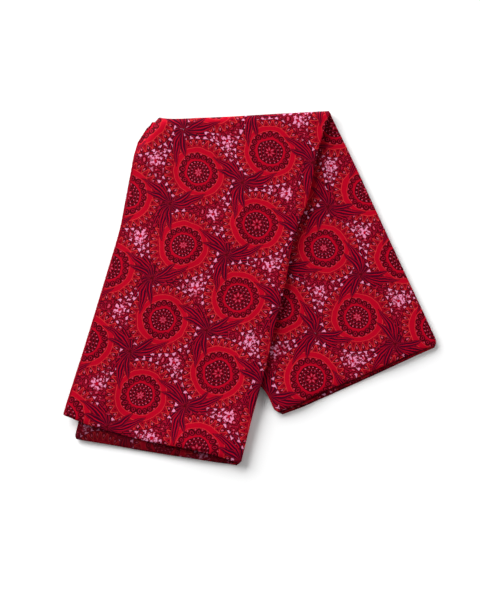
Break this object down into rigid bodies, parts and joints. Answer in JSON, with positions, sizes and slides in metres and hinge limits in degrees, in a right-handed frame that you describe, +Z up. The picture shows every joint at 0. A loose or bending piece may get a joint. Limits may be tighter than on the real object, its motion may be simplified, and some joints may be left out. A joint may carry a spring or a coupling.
{
  "type": "folded shweshwe cotton fabric",
  "caption": "Crisp printed cotton cloth folded lengthwise into a layered strip and laid down folded once across, with an open notch between its two legs.",
  "frame": {"origin": "centre of the cloth's bounding box, on the surface that it lies on", "axes": "+Z up through the layers; +Y towards the edge where the strip is folded over; +X towards the right leg"},
  "size_m": [0.5798, 0.5744, 0.0206],
  "materials": {
    "cotton": "matte printed cotton"
  },
  "bodies": {
    "root": {"folded_cloth": "cotton"}
  },
  "joints": []
}
